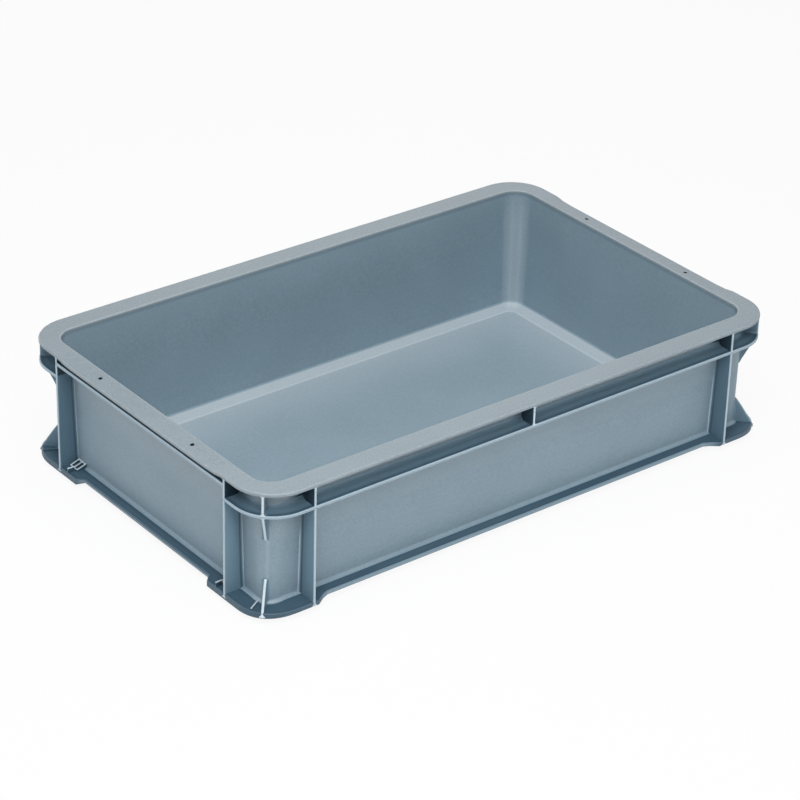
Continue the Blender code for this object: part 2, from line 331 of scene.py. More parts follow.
def smooth(piece: bpy.types.Object) -> None:
    """Shade a piece smooth up to the sharp angle, with normals that follow its large faces.

    Args:
        piece: The mesh object.
    """
    piece.data.shade_smooth()
    piece.data.set_sharp_from_angle(angle=SHARP_ANGLE)
    if "even_normals" not in piece.modifiers:
        even = piece.modifiers.new("even_normals", "WEIGHTED_NORMAL")
        even.keep_sharp = True


def line(points: list[Flat], share: float = 0.0, wear: float = 0.0, inset: float = 0.0) -> Array:
    """Rows of a cross-section along straight stretches.

    Args:
        points: Reach and height of each row.
        share: 0 measures reach from the walls' bend line, 1 from the outline's.
        wear: Wear and painted light and shade of the rows.
        inset: How far the bends' centres are moved in towards the middle.

    Returns:
        One line of share, reach, height, wear with painted light and shade, and inset for each row.
    """
    flat = np.array(points)
    rest = np.ones((len(flat), 1))
    return np.hstack([share * rest, flat, wear * rest, inset * rest])


def rounding(
    centre: Flat, radii: Flat, start: float, end: float, share: float = 0.0, wear: float = 0.0, steps: int = 5,
    ends: float = 0.35,
) -> Array:
    """Rows of a cross-section along an arc: reach = c + a cos t and height = c + b sin t.

    Args:
        centre: Reach and height of the arc's centre.
        radii: Half axes a and b.
        start: First angle in degrees.
        end: Last angle in degrees.
        share: 0 measures reach from the walls' bend line, 1 from the outline's.
        wear: Wear and painted light and shade at the middle of the arc, which fades to its ends.
        steps: Number of stretches.
        ends: Part of that value that is left at the arc's ends.

    Returns:
        One line of share, reach, height, wear with painted light and shade, and inset for each row.
    """
    turn = np.linspace(0, 1, steps + 1)
    angle = np.radians(start + (end - start) * turn)
    reach = centre[0] + radii[0] * np.cos(angle)
    height = centre[1] + radii[1] * np.sin(angle)
    worn_and_shaded = wear * (ends + (1 - ends) * np.sin(pi * turn))
    same = np.ones_like(turn)
    return np.column_stack([share * same, reach, height, worn_and_shaded, 0 * same])


@dataclass(frozen=True)
class Path:
    """Stations round the crate: the walls' and the outline's bend lines and the outward direction."""

    wall: Array
    edge: Array
    outward: Array

    def carry(
        self, section: Array, setback: Union[float, Array] = 0.0, drop: Union[float, Array] = 0.0
    ) -> Array:
        """Carry a cross-section along the path.

        A row's point is the mix by share of the two bend lines, scaled in by its inset, plus its reach
        along the outward direction. The setback, weighted by share, is taken off the reach, and the
        drop, weighted in the same way, off the height.

        Args:
            section: Rows of share, reach, height, wear with painted light and shade, and inset.
            setback: Distance by which the outline is set back at each station.
            drop: Distance by which the outline is lowered at each station.

        Returns:
            Points as rows, stations and coordinates.
        """
        share, reach, height, _, inset = (column[:, None] for column in section.T)
        mix = share[..., None]
        bend = (1 - mix) * self.wall + mix * self.edge
        widest = np.abs(self.wall).max(axis=0)
        bend = bend * (1 - inset[..., None] / widest)
        flat = bend + (reach - share * setback)[..., None] * self.outward
        level = np.broadcast_to(height - share * drop, flat.shape[:2])[..., None]
        return np.concatenate([flat, level], axis=2)

    def bulge(self) -> Array:
        """Share of a bend's fullness at each station: 0 on flat sides, 1 halfway round.

        It is how far the curve |x|^2.4 + |y|^2.4 = 1 stands out past a circle, over its most.

        Returns:
            One number for each station.
        """
        power = 2.4
        past = (np.abs(self.outward) ** power).sum(axis=1) ** (-1 / power) - 1
        return past / past.max()

    def mirrored(self) -> "Path":
        """The same path with front and rear exchanged."""
        flip = np.array([1, -1])
        return Path(self.wall * flip, self.edge * flip, self.outward * flip)


@dataclass(frozen=True)
class Plan:
    """Lays stations round the crate's plan."""

    sizes: CrateSizes
    bend_steps: int = 14

    def straight(self, outward: Flat, stops: Array) -> Path:
        """Stations along one flat side.

        Args:
            outward: Unit direction out of the side, along X or Y.
            stops: Places along the side, in order.

        Returns:
            The stretch of path.
        """
        size = self.sizes
        same = np.ones_like(stops)
        direction = np.column_stack([outward[0] * same, outward[1] * same])
        if outward[0]:
            run = np.column_stack([outward[0] * size.bend_x * same, stops])
            return Path(run, run, direction)
        wall = np.column_stack([stops, outward[1] * size.bend_y * same])
        edge = np.column_stack([stops, outward[1] * size.edge_bend_y * same])
        return Path(wall, edge, direction)

    def bend(self, start: float) -> Path:
        """Stations round one corner, a quarter turn about its two bend centres.

        Args:
            start: First angle in degrees.

        Returns:
            The stretch of path.
        """
        size = self.sizes
        angle = np.radians(np.linspace(start, start + 90, self.bend_steps + 1))
        middle = radians(start + 45)
        signs = np.sign([cos(middle), sin(middle)])
        same = np.ones((len(angle), 1))
        wall = same * signs * [size.bend_x, size.bend_y]
        edge = same * signs * [size.bend_x, size.edge_bend_y]
        return Path(wall, edge, np.column_stack([np.cos(angle), np.sin(angle)]))

    def join(self, runs: list[Path]) -> Path:
        """Stretches of path joined in order."""
        return Path(
            np.concatenate([run.wall for run in runs]),
            np.concatenate([run.edge for run in runs]),
            np.concatenate([run.outward for run in runs]),
        )

    def all_round(self, long_stops: Array, short_stops: Array) -> Path:
        """The whole way round, from the right side through the rear, left and front.

        Args:
            long_stops: Places along X on the long sides, rising.
            short_stops: Places along Y on the short sides, rising.

        Returns:
            The closed path.
        """
        return self.join([
            self.straight((1, 0), short_stops), self.bend(0),
            self.straight((0, 1), long_stops[::-1]), self.bend(90),
            self.straight((-1, 0), short_stops[::-1]), self.bend(180),
            self.straight((0, -1), long_stops), self.bend(270),
        ])

    def front_run(self, end_y: float, long_stops: Array) -> Path:
        """From the left side's fin round the front to the right side's fin.

        Args:
            end_y: Distance of both ends from the middle, along Y.
            long_stops: Places along X on the front side, rising.

        Returns:
            The open path.
        """
        end = np.array([-end_y])
        return self.join([
            self.straight((-1, 0), end), self.bend(180),
            self.straight((0, -1), long_stops), self.bend(270),
            self.straight((1, 0), end),
        ])


def both_ways(*stops: float) -> Array:
    """The given distances and their mirror images, in rising order."""
    return np.unique(np.concatenate([-np.array(stops), np.array(stops)]))


def flare(distance: Array, radius: float) -> Array:
    """Extra half thickness near a surface that a plate runs into: r - sqrt(r^2 - (r - x)^2) for x under r."""
    inside = np.clip(radius - distance, 0, radius)
    return radius - np.sqrt(radius ** 2 - inside ** 2)


@dataclass(frozen=True)
class UprightPlate:
    """A thin upright plate that stands out from the wall and is closed by a round outer edge."""

    sizes: CrateSizes
    origin: Flat
    outward: Flat
    bottom: float
    top: float
    reach_bottom: float
    reach_top: float
    wall_base: float
    half: float
    root_flare: float = 0.0020
    # Painted highlight on the root, painted shade on the faces and in the crease, and a pale edge that is partly rubbed
    # and partly painted highlight.
    root_wear: float = 0.75
    face_wear: Flat = (-0.42, -0.42)
    crease_wear: float = -1.0
    edge_wear: float = 0.9
    bottom_flare: float = 0.0
    top_flare: float = 0.0
    crown: float = 0.0
    bow: float = 1.0
    # Above this height dark faces take the deep painted shade of the recess under the rim.
    shaded_above: Optional[float] = None
    deep_wear: Flat = (-1.7, -1.7)

    def heights(self) -> Array:
        """Levels of the loops, close together near both ends, where flares and crowns curve.

        Returns:
            Heights in rising order.
        """
        near = np.array([0.0, 0.08, 0.25, 0.5, 0.75, 1.0])
        span = max(self.bottom_flare, self.top_flare, self.crown, 0.001)
        low = self.bottom + near * span
        high = self.top - near[::-1] * span
        middle = np.linspace(low[-1], high[0], 8)[1:-1]
        levels = np.concatenate([low, middle, high])
        if self.bottom_flare:
            levels = np.concatenate([[self.bottom - SUNK], levels])
        if self.top_flare:
            levels = np.concatenate([levels, [self.top + SUNK]])
        if self.shaded_above:
            levels = np.sort(np.concatenate([levels, self.shaded_above + np.array([-SUNK, SUNK])]))
        return levels

    def shell(self) -> Shell:
        """The plate's surface: at each height a loop runs out on one face, round the edge and back.

        Half thickness is the plate's own, plus a flare near the wall and near each end that runs into
        another plate. The outer edge is a quarter turn to each side of the loop's tip. The root's curve
        carries a painted highlight, the crease beside it painted shade as a bell of the part of the way out,
        the faces painted shade, and the edge is pale again, partly rubbed and partly painted highlight. Above a given
        height, dark faces take a deeper painted shade.

        Returns:
            The closed shell.
        """
        size = self.sizes
        level = self.heights()
        inside = np.clip((level - self.bottom) / (self.top - self.bottom), 0, 1)
        wide, narrow = max(self.reach_bottom, self.reach_top), min(self.reach_bottom, self.reach_top)
        climbing = inside if self.reach_top > self.reach_bottom else 1 - inside
        reach = narrow + (wide - narrow) * climbing ** self.bow
        face = self.wall_base - size.lean(level)
        half = self.half + flare(level - self.bottom, self.bottom_flare) + flare(self.top - level, self.top_flare)
        half = half - flare(self.top - level, self.crown) * 0.8 if self.crown else half
        edge = 0.85 * self.half
        along = np.array([0.0, 0.01, 0.03, 0.06, 0.1, 0.2, 0.55, 0.9])[:, None]
        flat_x = along * (reach - edge - face)
        turn = np.radians(np.linspace(0, 90, 6))[:, None]
        edge_x = (reach - edge - face) + edge * np.sin(turn)
        edge_half = half - edge + edge * np.cos(turn)
        flat_half = half + flare(flat_x, self.root_flare)
        sunk_x = np.full((1, len(level)), -SUNK)
        x = np.concatenate([sunk_x, flat_x, edge_x])
        v = np.concatenate([flat_half[:1], flat_half, edge_half])
        # Painted highlight on the root's curve and painted shade in the crease beside it.
        pale = np.clip(1 - along / 0.025, 0, 1)
        crease = np.exp(-((along - 0.1) / 0.07) ** 2)
        faces = np.array(self.face_wear)
        face_wear = faces + (self.crease_wear - faces) * crease
        face_wear = face_wear + (self.root_wear - face_wear) * pale
        edge_wear = faces + (self.edge_wear - faces) * np.sin(turn) ** 0.5
        wear = np.concatenate([face_wear[:1], face_wear, edge_wear])
        distance = np.concatenate([x, x[::-1]]) + face
        aside = np.concatenate([v, -v[::-1]])
        out = np.array(self.outward) / np.hypot(*self.outward)
        across = np.array([-out[1], out[0]])
        flat = np.array(self.origin) + distance[..., None] * out + aside[..., None] * across
        grid = np.concatenate([flat, np.broadcast_to(level[:, None], flat.shape[:2] + (1,))], axis=2)
        worn_and_shaded = np.concatenate([wear[:, :1], wear[::-1, 1:]]) + 0 * level
        # Above the given height, dark faces turn to the deep painted shade.
        if self.shaded_above:
            deep = np.repeat(self.deep_wear, len(wear))[:, None]
            worn_and_shaded = np.where((level > self.shaded_above) & (worn_and_shaded < 0), deep, worn_and_shaded)
        return Shell.from_grid(grid, worn_and_shaded, Closure.BAR)


def rounded_bar(
    start: Flat, end: Flat, half: float, bottom: float, tops: Flat, edge: float, wear: float = 0.9
) -> Shell:
    """A low straight bar with a round-edged top: its cross-section carried from one end to the other.

    Args:
        start: X and Y of the first end.
        end: X and Y of the other end.
        half: Half its width.
        bottom: Height of its underside.
        tops: Height of its top at both ends, with an even slope between them.
        edge: Radius of the top edges.
        wear: Value of the top: rubbed wear and painted highlight above nothing, painted shade below.

    Returns:
        The closed shell.
    """
    angle = np.radians(np.linspace(0, 90, 5))
    aside = half - edge + edge * np.cos(angle)
    below = edge * (np.sin(angle) - 1)
    sides = np.concatenate([[half, half], aside, -aside[::-1], [-half, -half]])
    crown = np.concatenate([below, below[::-1]])[:, None] + np.array(tops)
    foot = np.array([[bottom, bottom], np.array(tops) - 1.8 * edge])
    level = np.vstack([foot, crown, foot[::-1]])
    run = np.array(end) - np.array(start)
    across = np.array([-run[1], run[0]]) / np.hypot(*run)
    flat = np.array([start, end]) + sides[:, None, None] * across
    # The sides in painted shade, the top at its given value.
    worn_and_shaded = np.concatenate([np.full(2, SIDE_SHADE), np.full(10, wear), np.full(2, SIDE_SHADE)])
    return Shell.from_grid(np.concatenate([flat, level[..., None]], axis=2), worn_and_shaded[:, None], Closure.BAR)


class Value:
    """A shader value whose operators add Math nodes to its tree."""

    def __init__(self, tree: "ShaderTree", socket: bpy.types.NodeSocket) -> None:
        """Wrap a socket.

        Args:
            tree: The tree that new nodes go to.
            socket: The output that holds the value.
        """
        self.tree = tree
        self.socket = socket

    def _math(self, operation: str, first: Any, second: Any) -> "Value":
        """One Math node on two values or numbers."""
        return self.tree.node("ShaderNodeMath", {"operation": operation}, {0: first, 1: second})

    def __add__(self, other: Any) -> "Value":
        """Sum."""
        return self._math("ADD", self, other)

    __radd__ = __add__

    def __sub__(self, other: Any) -> "Value":
        """Difference."""
        return self._math("SUBTRACT", self, other)

    def __rsub__(self, other: Any) -> "Value":
        """Difference taken from a number."""
        return self._math("SUBTRACT", other, self)

    def __mul__(self, other: Any) -> "Value":
        """Product."""
        return self._math("MULTIPLY", self, other)

    __rmul__ = __mul__

    def limited(self) -> "Value":
        """The value held between 0 and 1."""
        return self.tree.node("ShaderNodeClamp", {}, {"Value": self})

    def above(self, low: float, high: float) -> "Value":
        """A smooth step from 0 at low to 1 at high."""
        return self.tree.node(
            "ShaderNodeMapRange",
            {"interpolation_type": "SMOOTHSTEP"},
            {"Value": self, "From Min": low, "From Max": high},
        )


class ShaderTree:
    """Node tree of a material, a world or a lamp."""

    def __init__(self, owner: Any) -> None:
        """Start an empty tree.

        Args:
            owner: The material or world that the tree belongs to.
        """
        owner.use_nodes = True
        self.tree = owner.node_tree
        self.tree.nodes.clear()

    def node(
        self, kind: str, settings: Optional[dict] = None, sockets: Optional[dict] = None, output: Any = 0
    ) -> Value:
        """Add one node.

        Args:
            kind: Blender's name of the node type.
            settings: Properties, which are set first.
            sockets: Values or links of its inputs, by name or number.
            output: Name or number of the output that is returned.

        Returns:
            The chosen output, or the node's first one.
        """
        made = self.tree.nodes.new(kind)
        for key, setting in (settings or {}).items():
            setattr(made, key, setting)
        for key, given in (sockets or {}).items():
            if isinstance(given, Value):
                self.tree.links.new(given.socket, made.inputs[key])
            else:
                made.inputs[key].default_value = given
        return Value(self, made.outputs[output] if made.outputs else None)

    def noise(self, place: Value, scale: float, detail: float) -> Value:
        """Smooth noise about 0.5, with features of about one part in scale of a metre."""
        return self.node(
            "ShaderNodeTexNoise", {}, {"Vector": place, "Scale": scale, "Detail": detail}, "Fac"
        )

    def direct_view(self) -> Value:
        """1 for rays from the camera, a reflection or a clear surface, otherwise 0."""
        names = ("Is Camera Ray", "Is Glossy Ray", "Is Transmission Ray")
        seen, glossy, through = (self.node("ShaderNodeLightPath", {}, {}, name) for name in names)
        return (seen + glossy + through).limited()

    def stretched(self, place: Value, scale: tuple[float, float, float]) -> Value:
        """Place with its axes scaled."""
        return self.node("ShaderNodeMapping", {}, {"Vector": place, "Scale": scale})

    def mixed(self, factor: Value, first: Any, second: Any) -> Value:
        """Colour that goes from first to second with the factor, on the Mix node's colour sockets."""
        return self.node("ShaderNodeMix", {"data_type": "RGBA"}, {0: factor, 6: first, 7: second}, 2)


@dataclass(frozen=True)
class PlasticFinish:
    """Moulded polypropylene: a fine matte grain, faint flow mottling, pale edges that are partly rubbed and partly
    painted highlight, and painted shade in creases.
    """

    name: str
    colour: Colour
    # Pale tone for rubbed wear and painted highlights.
    rubbed_and_lit: Colour
    # Tone of painted shade.
    shade_tone: Colour
    roughness: float
    scuffs: float
    speckling: float = 1.0
    grain_scale: float = 1400.0
    grain_height: float = 0.00006

    def material(self) -> bpy.types.Material:
        """Build the finish.

        The colour goes from the plain tone towards the pale one as the surface's value rises above nothing,
        broken up by grain, and with thin scuffs that run both ways: rubbed wear, with painted highlight in it.
        A value below nothing is painted shade, which takes the colour towards the shade tone, and below minus one
        on towards the near-black painted shade of crevices. Flow mottling and grain move it a little to both sides.
        Roughness rises with the pale share and grain, and the grain also drives a bump.

        Returns:
            The new material.
        """
        made = bpy.data.materials.new(self.name)
        tree = ShaderTree(made)
        place = tree.node("ShaderNodeTexCoord", {}, {}, "Object")
        wear = tree.node("ShaderNodeAttribute", {"attribute_name": WEAR_AND_SHADING}, {}, "Fac")
        grain = tree.noise(place, self.grain_scale, 2.0)
        speckle = tree.noise(place, self.grain_scale * 0.35, 3.0)
        mottle = tree.noise(place, 14.0, 4.0)
        lengthways = tree.noise(tree.stretched(place, (16.0, 900.0, 300.0)), 1.0, 3.0)
        crossways = tree.noise(tree.stretched(place, (900.0, 16.0, 300.0)), 1.0, 3.0)
        streaks = (lengthways.above(0.58, 0.72) + crossways.above(0.58, 0.72)).limited()
        # Share of the pale tone: rubbed wear and scuffs, and painted highlight.
        rub_and_light = (wear * (0.75 + 0.5 * speckle) + self.scuffs * (0.35 * mottle + 0.5 * streaks)).limited()
        # Share of painted shade, where the value is below nothing.
        painted_shade = (wear * (-0.8 - 0.4 * mottle)).limited()
        tone = (0.5 + 0.7 * (mottle - 0.5) + self.speckling * (speckle - 0.5)).limited()
        darker = tuple(0.88 * part for part in self.colour[:3]) + (1.0,)
        lighter = tuple(1.12 * part for part in self.colour[:3]) + (1.0,)
        plain = tree.mixed(tone, darker, lighter)
        worn_lit_and_shaded = tree.mixed(painted_shade, tree.mixed(rub_and_light, plain, self.rubbed_and_lit), self.shade_tone)
        # Below minus one the colour goes on to the near-black painted shade.
        colour = tree.mixed((-1.0 - wear).limited(), worn_lit_and_shaded, DEEP_SHADE_TONE)
        rough = self.roughness + 0.10 * (grain - 0.5) + 0.08 * rub_and_light + 0.06 * (mottle - 0.5)
        bump = tree.node(
            "ShaderNodeBump", {}, {"Strength": 0.35, "Distance": self.grain_height, "Height": grain}, "Normal"
        )
        shader = tree.node(
            "ShaderNodeBsdfPrincipled",
            {},
            {"Base Color": colour, "Roughness": rough, "Normal": bump, "IOR": 1.49},
        )
        tree.node("ShaderNodeOutputMaterial", {}, {"Surface": shader})
        return made


PLAIN_TONE: Colour = (0.225, 0.313, 0.374, 1.0)
# Pale tone of rubbed wear and of painted highlights on walls, floor and rim.
RUBBED_AND_HIGHLIGHT_TONE: Colour = (0.56, 0.62, 0.655, 1.0)
# Pale tone of edges on ribs, plates and feet: partly rubbed, partly painted highlight.
EDGE_TONE: Colour = (0.62, 0.70, 0.75, 1.0)
# Painted shade in creases, recesses and on ledges under the rim.
SHADE_TONE: Colour = (0.042, 0.088, 0.128, 1.0)
# Near-black painted shade of deep recesses and crevices.
DEEP_SHADE_TONE: Colour = (0.004, 0.010, 0.014, 1.0)
WALL_FINISH = PlasticFinish("wall_plastic", PLAIN_TONE, RUBBED_AND_HIGHLIGHT_TONE, SHADE_TONE, 0.48, 0.06, 1.5)
RIM_FINISH = PlasticFinish("rim_plastic", (0.236, 0.291, 0.326, 1.0), RUBBED_AND_HIGHLIGHT_TONE, SHADE_TONE, 0.45, 0.10, 2.4)
# Ribs, fins, webs and gussets: a bluer, slightly darker copy of the wall plastic, painted shade.
RIB_FINISH = PlasticFinish("rib_plastic", (0.190, 0.300, 0.380, 1.0), EDGE_TONE, SHADE_TONE, 0.46, 0.03)
FOOT_FINISH = PlasticFinish("foot_plastic", PLAIN_TONE, EDGE_TONE, SHADE_TONE, 0.50, 0.05)
# Near-black painted shade for the walls of the pin holes and the floors of the foot lugs' wells.
HOLE_SHADE_FINISH = PlasticFinish("pin_hole_plastic", (0.012, 0.016, 0.020, 1.0), SHADE_TONE, SHADE_TONE, 0.60, 0.0)


@dataclass(frozen=True)
class TubShell:
    """The tub: walls that lean in to a floor whose border slopes to a flat pan."""

    sizes: CrateSizes
    path: Path
    material: bpy.types.Material
    foot_round: float = 0.0012
    flange_round: float = 0.0032
    under_round: float = 0.0015
    pan_radius: float = 0.008
    # Painted sheen on the floor, palest on the border and along both its edges.
    floor_wear: float = 0.46
    floor_fade: float = 0.040
    border_wear: float = 0.66
    border_edges: float = 0.34
    # Painted highlight down the inner bends: a band and two lines, fading under the rim.
    bend_wear: float = 0.21
    bend_lines: float = 0.16
    bend_fade: float = 0.030
    foot_share: float = 0.4
    # Painted light on the wall above the rib, in the recess under the rim.
    recess_wear: float = 0.36
    # Painted shade in the recess beside the fins and webs.
    recess_shade: float = -1.9
    recess_reach: float = 0.008
    # Painted shade in the recesses of the bends, all but the lit corner.
    corner_recess: float = -0.9
    # Painted light on the top of the panels, against the rib's shade.
    panel_wear: float = 0.40
    # Painted highlight line down the middle of the outer bends.
    seam_wear: float = 0.15
    # Painted highlight line round the flange's root at the bends.
    root_line: float = 0.28
    lip_line: float = 0.003
    # Painted shade just under the rim inside.
    lip_wear: float = -0.35

    def climb(self, start: float, end: float, low: float, high: float) -> Array:
        """Rows of the sloping border, from the pan's edge to the walls' foot.

        Height follows s * s * (1.6 - 0.6 * s) with s from 0 to 1, so it leaves the pan level and steepens.
        A painted sheen rises with the sixth power of 2 s - 1, so the border is palest along both its edges.

        Args:
            start: Reach at the pan's edge.
            end: Reach at the walls' foot.
            low: Height at the pan's edge.
            high: Height at the walls' foot.

        Returns:
            Rows of share, reach, height, wear with painted light and shade, and inset.
        """
        slope = np.linspace(0, 1, 9)
        eased = slope * slope * (1.6 - 0.6 * slope)
        step_in = self.sizes.bend_x - (self.sizes.pan_x - self.pan_radius)
        # Painted sheen on the border.
        wear = self.border_wear + self.border_edges * (2 * slope - 1) ** 6
        return np.column_stack([
            0 * slope, start + (end - start) * slope, low + (high - low) * eased, wear, step_in * (1 - slope),
        ])

    def pan(self, step_in: float) -> Array:
        """Rows of the flat pan, out from near its middle: the painted sheen falls off as e to the minus distance in
        from the pan's edge.

        Args:
            step_in: Inset of the pan's edge.

        Returns:
            Rows of share, reach, height, wear with painted light and shade, and inset.
        """
        deepest = self.sizes.bend_y - step_in - SUNK
        distance = deepest * np.linspace(1, 0, 11)[:-1] ** 2
        same = np.ones_like(distance)
        # Painted sheen on the pan, fading in from its edge.
        wear = self.floor_wear * np.exp(-distance / self.floor_fade)
        return np.column_stack([
            0 * same, self.pan_radius * same, self.sizes.pan_top * same, wear, step_in + distance,
        ])

    def inside(self) -> Array:
        """Rows from the middle of the floor over its border and up the walls.

        Returns:
            Rows of share, reach, height, wear with painted light and shade, and inset.
        """
        size = self.sizes
        foot = size.inner_radius - size.lean(size.border_top)
        climb = self.climb(self.pan_radius, foot - self.foot_round, size.pan_top, size.border_top)
        cove = rounding(
            (foot - self.foot_round, size.border_top + self.foot_round), (self.foot_round,) * 2, -90, 0,
        )
        levels = np.linspace(size.border_top + 2 * self.foot_round, size.rim_under, 8)
        levels = np.concatenate([levels[:-1], [size.rim_under - self.lip_line, size.rim_under]])
        wall = line(np.column_stack([size.inner_radius - size.lean(levels), levels]))
        wall[-1, 1] = size.inner_radius
        # A thin line of painted shade on the inner wall just under the rim.
        wall[-1, 3] = self.lip_wear
        return np.vstack([self.pan(climb[0, 4]), climb[:-1], cove, wall])

    def outer_wall(self) -> Array:
        """Rows down the walls' outer face: two above the rib, the rest from the rib to the flange's root.

        The share falls evenly from 1 at the top, so the long walls lean more than the short ones.

        Returns:
            Rows of share, reach, height, wear with painted light and shade, and inset.
        """
        size = self.sizes
        foot = size.flange_top + self.flange_round
        levels = np.concatenate([
            [size.rim_under - SUNK, size.rib_top + 0.002, size.rib_under - 0.002],
            np.linspace(size.rib_under - 0.010, foot, 7),
        ])
        rows = line(np.column_stack([size.wall_face(levels), levels]))
        rise = (levels - foot) / (size.rim_under - foot)
        rows[:, 0] = self.foot_share + (1 - self.foot_share) * rise
        # Painted light: the panel is paler towards the rib.
        rows[:, 3] = self.panel_wear * np.clip(2 * rise - 1, 0, 1)
        # Painted light on the wall in the recess above the rib.
        rows[:2, 3] = self.recess_wear
        return rows

    def outside(self) -> tuple[Array, Array, Array]:
        """Rows over the hidden top, down the outer face, round the flange's root and back under the floor.

        Returns:
            Three sets of rows of share, reach, height, wear with painted light and shade, and inset: the
            outer face with the hidden top, the root, and everything below.
        """
        size = self.sizes
        hidden = size.rim_under + SUNK
        hidden_top = [(size.inner_radius + SUNK, hidden), (size.wall_radius - SUNK, hidden)]
        low_face = size.wall_face(size.flange_top)
        root = rounding(
            (low_face + self.flange_round, size.flange_top + self.flange_round), (self.flange_round,) * 2,
            180, 270, self.foot_share,
        )
        inside_flange = size.flange_under + 2 * SUNK
        nest = size.wall_face(size.wall_foot)
        hidden_low = [(low_face + self.flange_round, inside_flange), (nest, inside_flange)]
        heel = rounding(
            (nest - self.under_round, size.border_under + self.under_round), (self.under_round,) * 2, 0, -90,
        )
        under = self.climb(self.pan_radius, nest - self.under_round, 0.0, size.border_under)[::-1]
        under[:, 3] = 0.0
        middle = line([(self.pan_radius - 0.002, 0.0)], 0, 0.0, under[-1, 4])
        return (
            np.vstack([line(hidden_top), self.outer_wall()]),
            root,
            np.vstack([line(hidden_low), heel, under[1:], middle]),
        )

    def wear(self) -> Array:
        """Wear and painted light and shade of every point: that of its row, and what changes on the way round.

        Inside, the bends get a painted highlight by the root of the sine of twice the turn: nothing on
        the flat sides, all of it halfway round. Two painted highlight lines more are bells of that sine,
        a third of the way in from either side, and both fade under the rim. Outside, a fine painted
        highlight line runs down the middle of each bend, and above the rib painted shade lies on one
        side of the fins and webs, as a bell of the distance from them, and round every bend but the lit
        one. The root of the flange has a painted highlight line round the bends.

        Returns:
            Wear and painted light and shade as rows and stations.
        """
        inside = self.inside()
        face, root, below = self.outside()
        turn = np.abs(2 * self.path.outward[:, 0] * self.path.outward[:, 1])
        gap = self.sizes.fin_gap(self.path)
        raised = np.clip((inside[:, 2:3] - self.sizes.pan_top) / self.foot_round, 0, 1)
        faded = np.clip((self.sizes.top - inside[:, 2:3]) / self.bend_fade, 0, 1)
        # Painted highlight lines in the inner bends, a third of the way in from either side.
        two_lines = np.exp(-((turn - sin(pi / 3)) / 0.08) ** 2)
        recess = face[:, 2:3] > self.sizes.rib_top
        panel_line = self.seam_wear * (turn > 0.99)
        along = self.path.wall[:, 0]
        shaded = (along < np.sign(along) * self.sizes.fin_x) | (np.abs(self.path.outward[:, 0]) == 1)
        shaded = shaded & ((along <= 0) | (gap < self.recess_reach * 2))
        gap = np.minimum(gap, np.abs(along))
        # Painted shade in the recess above the rib, a bell of the distance from the fins and webs on one side.
        shaded_recess = self.recess_shade * np.exp(-(gap / self.recess_reach) ** 2) * shaded
        # Stations of the lit corner, whose recess keeps no painted shade.
        rubbed_and_lit = (np.sign(self.path.wall) == LIT_CORNER.value).all(axis=1)
        shaded_recess = shaded_recess + np.where(rubbed_and_lit, 0.0, self.corner_recess * np.sqrt(turn))
        # Painted highlight lines down the outer bends and round the flange's root.
        flat_root = np.sin(pi * np.linspace(0, 1, len(root)))[:, None]
        return np.vstack([
            inside[:, 3:4] + raised * faded * (self.bend_wear * np.sqrt(turn) + self.bend_lines * two_lines),
            face[:, 3:4] + np.where(recess, shaded_recess, panel_line),
            root[:, 3:4] + self.root_line * flat_root * turn,
            below[:, 3:4] + 0 * turn,
        ])

    def build(self) -> list[bpy.types.Object]:
        """Make the tub as one piece."""
        inside = self.inside()
        face, root, below = self.outside()
        grid = self.path.carry(np.vstack([inside, face, root, below]))
        pushed = np.zeros(len(grid))
        pushed[len(inside) + 2:-len(below)] = self.sizes.fullness(np.concatenate([face[2:, 2], root[:, 2]]))
        grid[..., :2] += (pushed[:, None] * self.path.bulge())[..., None] * self.path.outward
        shell = Shell.from_grid(grid, self.wear(), Closure.CUP)
        replaced = ["floor_pan", "floor_border", "long_wall_front", "long_wall_rear"]
        replaced += ["short_wall_left", "short_wall_right"]
        replaced += [corner.node("corner_wall") for corner in Corner]
        return [make_piece("tub_shell", [shell], self.material, replaced)]


